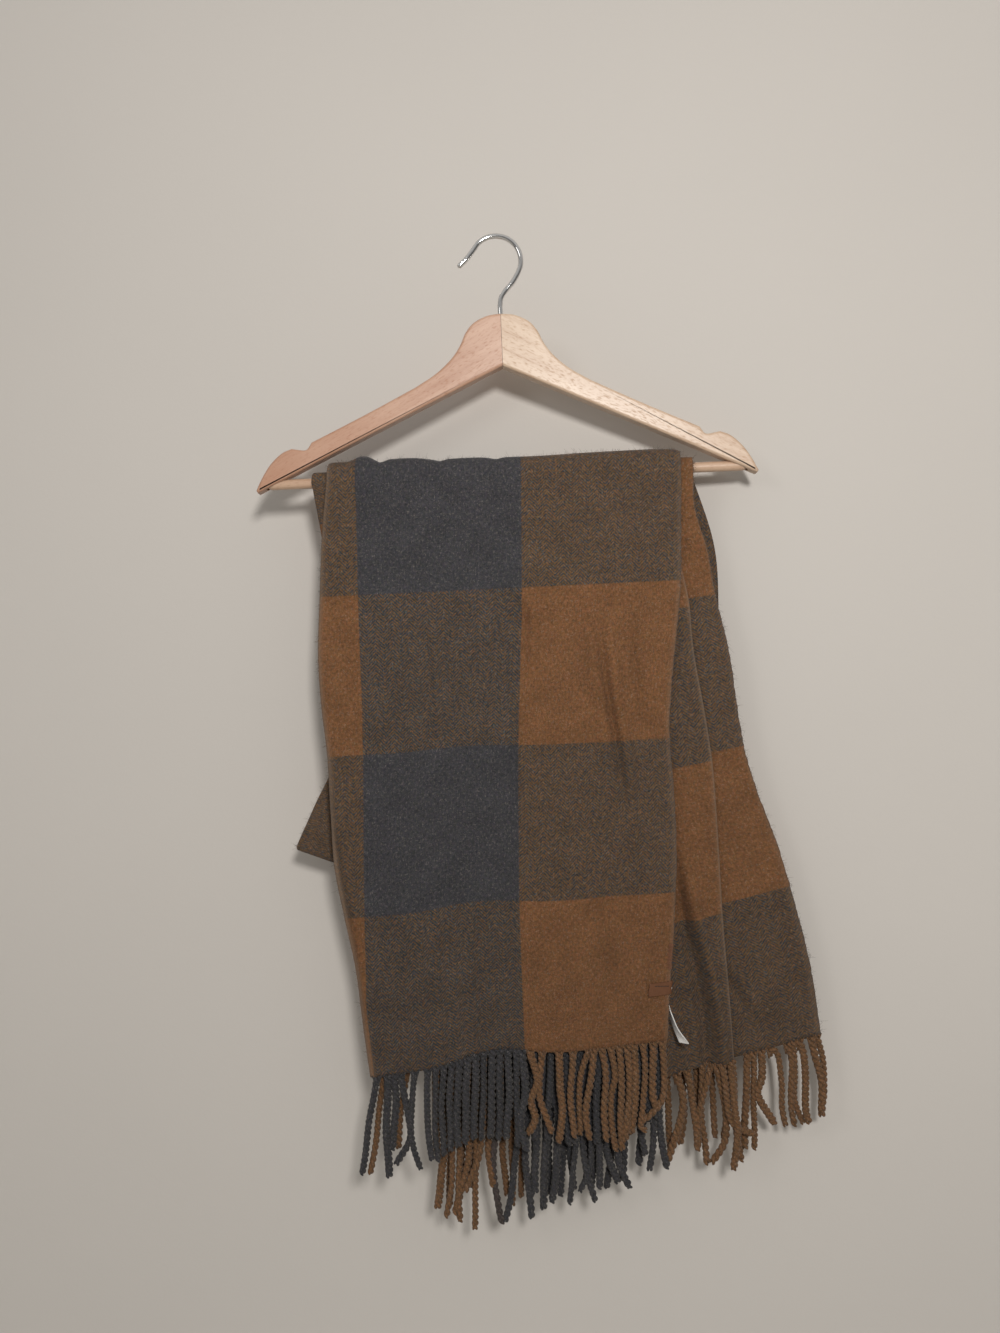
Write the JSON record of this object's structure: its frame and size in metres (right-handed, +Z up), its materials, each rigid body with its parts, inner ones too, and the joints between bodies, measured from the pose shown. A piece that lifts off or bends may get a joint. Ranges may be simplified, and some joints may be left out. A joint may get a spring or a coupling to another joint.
{
  "type": "plaid scarf on wooden hanger",
  "caption": "Fringed checked wool scarf, folded lengthwise and widthwise and draped over the trouser bar of a wooden hanger with a wire hook.",
  "frame": {"origin": "inner top of the hanger hook's crook, where a rail or a wall hook carries it", "axes": "+Z up, +Y away from the viewer of the scarf's front, +X to that viewer's right"},
  "size_m": [0.4977, 0.0443, 0.8881],
  "materials": {
    "pale_wood": "satin lacquer",
    "pink_wood": "satin lacquer",
    "chrome": "polished",
    "plaid_wool": "brushed twill",
    "twisted_wool": "twisted yarn",
    "rust_leather": "smooth",
    "white_satin": "satin"
  },
  "bodies": {
    "root": {"hanger_arm_left": "pink_wood", "hanger_arm_right": "pale_wood", "trouser_bar": "pale_wood", "hanger_hook": "chrome", "front_end": "plaid_wool", "under_end": "plaid_wool", "back_fold": "plaid_wool", "front_fringe": "twisted_wool", "under_fringe": "twisted_wool", "leather_label": "rust_leather", "care_label": "white_satin"}
  },
  "joints": []
}
